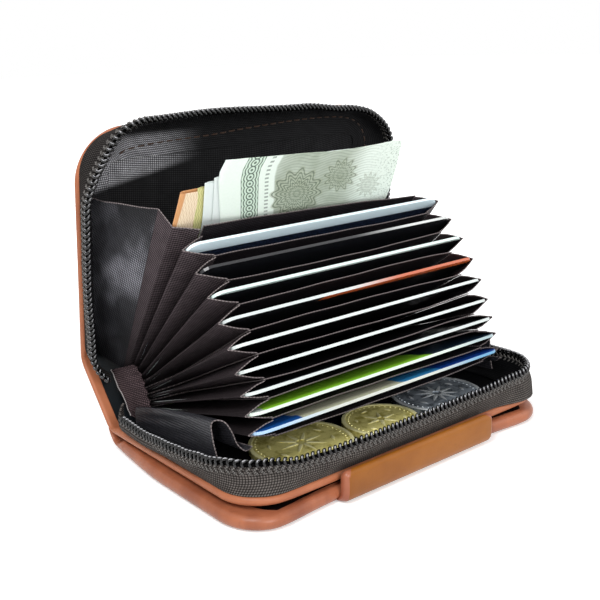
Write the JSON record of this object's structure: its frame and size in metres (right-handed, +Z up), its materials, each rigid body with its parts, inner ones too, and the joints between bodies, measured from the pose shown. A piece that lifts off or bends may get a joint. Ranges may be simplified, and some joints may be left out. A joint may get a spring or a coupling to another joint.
{
  "type": "slim zip wallet",
  "caption": "Slim leather zip wallet standing open, with an accordion of card pockets between a base leaf and a lid, a coin tray, a note space and a rear flap with a closing tab.",
  "frame": {"origin": "on the outer face of the rear flap, the face the wallet lies on, midway along its length and 44 mm behind the front edge of the base leaf", "axes": "+X along the fold lines, to the right seen from the zipped front; -Y towards the zipped front edge; +Z up, out of the rear flap"},
  "size_m": [0.1109, 0.0821, 0.0873],
  "materials": {
    "tan_leather": "grained",
    "flap_leather": "grained",
    "tab_leather": "waxed",
    "grey_board": "raw pressed board",
    "lining_nylon": "woven",
    "pocket_nylon": "woven",
    "zip_tape": "woven",
    "zip_coil": "gloss",
    "blackened_steel": "blackened",
    "magnet": "plated",
    "coin_brass": "worn",
    "coin_nickel": "worn",
    "note_paper": "soft paper",
    "card_1_plastic": "satin",
    "card_2_plastic": "satin",
    "card_3_plastic": "satin",
    "card_4_plastic": "satin",
    "card_5_plastic": "satin",
    "card_6_plastic": "satin",
    "card_7_plastic": "satin",
    "card_8_plastic": "satin",
    "card_9_plastic": "satin"
  },
  "bodies": {
    "rear_flap": {"flap_outer_leather": "flap_leather", "flap_inner_leather": "flap_leather", "tab_sewn_leg": "tab_leather", "tab_bend": "tab_leather", "flap_fold_leather": "flap_leather"},
    "tab": {"closing_tab": "tab_leather", "tab_magnet": "magnet"},
    "base": {"base_leather": "tan_leather", "base_board": "grey_board", "base_keeper": "blackened_steel", "base_lining": "lining_nylon", "base_zip_tape": "zip_tape", "base_zip_coil": "zip_coil", "zip_slider": "blackened_steel", "coin_large": "coin_brass", "coin_small": "coin_brass", "coin_steel": "coin_nickel", "base_fold_leather": "tan_leather", "coin_gusset": "pocket_nylon", "note_gusset": "pocket_nylon"},
    "puller": {"zip_puller": "blackened_steel"},
    "spine": {"spine_leather": "tan_leather", "spine_lining": "lining_nylon", "lid_fold_leather": "tan_leather"},
    "lid": {"lid_leather": "tan_leather", "lid_board": "grey_board", "lid_lining": "lining_nylon", "lid_zip_tape": "zip_tape", "lid_zip_coil": "zip_coil"},
    "divider_10": {"divider_10": "pocket_nylon", "pocket_gusset_9": "pocket_nylon"},
    "divider_09": {"divider_09": "pocket_nylon", "pocket_gusset_8": "pocket_nylon"},
    "divider_08": {"divider_08": "pocket_nylon", "pocket_gusset_7": "pocket_nylon"},
    "divider_07": {"divider_07": "pocket_nylon", "pocket_gusset_6": "pocket_nylon"},
    "divider_06": {"divider_06": "pocket_nylon", "pocket_gusset_5": "pocket_nylon"},
    "divider_05": {"divider_05": "pocket_nylon", "pocket_gusset_4": "pocket_nylon"},
    "divider_04": {"divider_04": "pocket_nylon", "pocket_gusset_3": "pocket_nylon"},
    "divider_03": {"divider_03": "pocket_nylon", "pocket_gusset_2": "pocket_nylon"},
    "divider_02": {"divider_02": "pocket_nylon", "pocket_gusset_1": "pocket_nylon"},
    "divider_01": {"divider_01": "pocket_nylon"},
    "card_9": {"card_9": "card_9_plastic"},
    "card_8": {"card_8": "card_8_plastic"},
    "card_7": {"card_7": "card_7_plastic"},
    "card_6": {"card_6": "card_6_plastic"},
    "card_5": {"card_5": "card_5_plastic"},
    "card_4": {"card_4": "card_4_plastic"},
    "card_3": {"card_3": "card_3_plastic"},
    "card_2": {"card_2": "card_2_plastic"},
    "card_1": {"card_1": "card_1_plastic"},
    "notes": {"note_bundle": "note_paper"}
  },
  "joints": [
    {"name": "flap_fold", "type": "hinge", "parent": "rear_flap", "child": "base", "pos_m": [0, 0.0205, 0.0049], "axis": [1, 0, 0], "range_deg": [-45, 0], "deforming": ["flap_fold_leather"]},
    {"name": "tab_hinge", "type": "hinge", "parent": "rear_flap", "child": "tab", "pos_m": [0.0015, -0.04625, 0.0021], "axis": [1, 0, 0], "range_deg": [0, 85], "deforming": ["tab_bend"]},
    {"name": "puller_swing", "type": "hinge", "parent": "base", "child": "puller", "pos_m": [0.0557, 0.0126, 0.01615], "axis": [0, 0, -1], "range_deg": [0, 150]},
    {"name": "spine_fold", "type": "hinge", "parent": "base", "child": "spine", "pos_m": [0, 0.0205, 0.0049], "axis": [1, 0, 0], "range_deg": [0, 39], "deforming": ["base_fold_leather", "coin_gusset", "note_gusset"]},
    {"name": "lid_fold", "type": "hinge", "parent": "spine", "child": "lid", "pos_m": [0, 0.03466, 0.02239], "axis": [1, 0, 0], "range_deg": [0, 43.1], "deforming": ["lid_fold_leather"]},
    {"name": "divider_10_fold", "type": "hinge", "parent": "base", "child": "divider_10", "pos_m": [0, 0.0172, 0.0083], "axis": [1, 0, 0], "range_deg": [0, 6.85]},
    {"name": "divider_09_fold", "type": "hinge", "parent": "divider_10", "child": "divider_09", "pos_m": [0, 0.01742, 0.00958], "axis": [1, 0, 0], "range_deg": [0, 3.05], "deforming": ["pocket_gusset_9"]},
    {"name": "divider_08_fold", "type": "hinge", "parent": "divider_09", "child": "divider_08", "pos_m": [0, 0.01771, 0.01085], "axis": [1, 0, 0], "range_deg": [0, 4.05], "deforming": ["pocket_gusset_8"]},
    {"name": "divider_07_fold", "type": "hinge", "parent": "divider_08", "child": "divider_07", "pos_m": [0, 0.01809, 0.01209], "axis": [1, 0, 0], "range_deg": [0, 3.45], "deforming": ["pocket_gusset_7"]},
    {"name": "divider_06_fold", "type": "hinge", "parent": "divider_07", "child": "divider_06", "pos_m": [0, 0.01853, 0.01331], "axis": [1, 0, 0], "range_deg": [0, 5.15], "deforming": ["pocket_gusset_6"]},
    {"name": "divider_05_fold", "type": "hinge", "parent": "divider_06", "child": "divider_05", "pos_m": [0, 0.01909, 0.01449], "axis": [1, 0, 0], "range_deg": [0, 4.95], "deforming": ["pocket_gusset_5"]},
    {"name": "divider_04_fold", "type": "hinge", "parent": "divider_05", "child": "divider_04", "pos_m": [0, 0.01974, 0.01561], "axis": [1, 0, 0], "range_deg": [0, 6.15], "deforming": ["pocket_gusset_4"]},
    {"name": "divider_03_fold", "type": "hinge", "parent": "divider_04", "child": "divider_03", "pos_m": [0, 0.02051, 0.01666], "axis": [1, 0, 0], "range_deg": [0, 5.55], "deforming": ["pocket_gusset_3"]},
    {"name": "divider_02_fold", "type": "hinge", "parent": "divider_03", "child": "divider_02", "pos_m": [0, 0.02138, 0.01763], "axis": [1, 0, 0], "range_deg": [0, 6.35], "deforming": ["pocket_gusset_2"]},
    {"name": "divider_01_fold", "type": "hinge", "parent": "divider_02", "child": "divider_01", "pos_m": [0, 0.02235, 0.0185], "axis": [1, 0, 0], "range_deg": [0, 6.15], "deforming": ["pocket_gusset_1"]},
    {"name": "card_9_lean", "type": "hinge", "parent": "divider_10", "child": "card_9", "pos_m": [0, 0.01731, 0.00894], "axis": [1, 0, 0], "range_deg": [0, 1.55]},
    {"name": "card_8_lean", "type": "hinge", "parent": "divider_09", "child": "card_8", "pos_m": [0, 0.01757, 0.01022], "axis": [1, 0, 0], "range_deg": [0, 2.05]},
    {"name": "card_7_lean", "type": "hinge", "parent": "divider_08", "child": "card_7", "pos_m": [0, 0.0179, 0.01147], "axis": [1, 0, 0], "range_deg": [0, 1.75]},
    {"name": "card_6_lean", "type": "hinge", "parent": "divider_07", "child": "card_6", "pos_m": [0, 0.01831, 0.0127], "axis": [1, 0, 0], "range_deg": [0, 2.6]},
    {"name": "card_5_lean", "type": "hinge", "parent": "divider_06", "child": "card_5", "pos_m": [0, 0.01881, 0.0139], "axis": [1, 0, 0], "range_deg": [0, 2.5]},
    {"name": "card_4_lean", "type": "hinge", "parent": "divider_05", "child": "card_4", "pos_m": [0, 0.01942, 0.01505], "axis": [1, 0, 0], "range_deg": [0, 3.1]},
    {"name": "card_3_lean", "type": "hinge", "parent": "divider_04", "child": "card_3", "pos_m": [0, 0.02013, 0.01614], "axis": [1, 0, 0], "range_deg": [0, 2.8]},
    {"name": "card_2_lean", "type": "hinge", "parent": "divider_03", "child": "card_2", "pos_m": [0, 0.02095, 0.01714], "axis": [1, 0, 0], "range_deg": [0, 3.2]},
    {"name": "card_1_lean", "type": "hinge", "parent": "divider_02", "child": "card_1", "pos_m": [0, 0.02186, 0.01806], "axis": [1, 0, 0], "range_deg": [0, 3.1]},
    {"name": "notes_slide", "type": "slide", "parent": "divider_01", "child": "notes", "axis": [0, 0.585, -0.8111], "range_m": [0, 0.0137]}
  ],
  "couplings": [
    {"joint": "lid_fold", "follows": "spine_fold", "ratio": 1.1026},
    {"joint": "divider_10_fold", "follows": "spine_fold", "ratio": 0.17436},
    {"joint": "divider_09_fold", "follows": "spine_fold", "ratio": 0.076923},
    {"joint": "divider_08_fold", "follows": "spine_fold", "ratio": 0.10256},
    {"joint": "divider_07_fold", "follows": "spine_fold", "ratio": 0.087179},
    {"joint": "divider_06_fold", "follows": "spine_fold", "ratio": 0.13077},
    {"joint": "divider_05_fold", "follows": "spine_fold", "ratio": 0.12564},
    {"joint": "divider_04_fold", "follows": "spine_fold", "ratio": 0.15641},
    {"joint": "divider_03_fold", "follows": "spine_fold", "ratio": 0.14103},
    {"joint": "divider_02_fold", "follows": "spine_fold", "ratio": 0.16154},
    {"joint": "divider_01_fold", "follows": "spine_fold", "ratio": 0.15641},
    {"joint": "card_9_lean", "follows": "spine_fold", "ratio": 0.038462},
    {"joint": "card_8_lean", "follows": "spine_fold", "ratio": 0.051282},
    {"joint": "card_7_lean", "follows": "spine_fold", "ratio": 0.04359},
    {"joint": "card_6_lean", "follows": "spine_fold", "ratio": 0.065385},
    {"joint": "card_5_lean", "follows": "spine_fold", "ratio": 0.062821},
    {"joint": "card_4_lean", "follows": "spine_fold", "ratio": 0.078205},
    {"joint": "card_3_lean", "follows": "spine_fold", "ratio": 0.070513},
    {"joint": "card_2_lean", "follows": "spine_fold", "ratio": 0.080769},
    {"joint": "card_1_lean", "follows": "spine_fold", "ratio": 0.078205},
    {"joint": "notes_slide", "follows": "spine_fold", "m_per_rad": 0.01998}
  ]
}
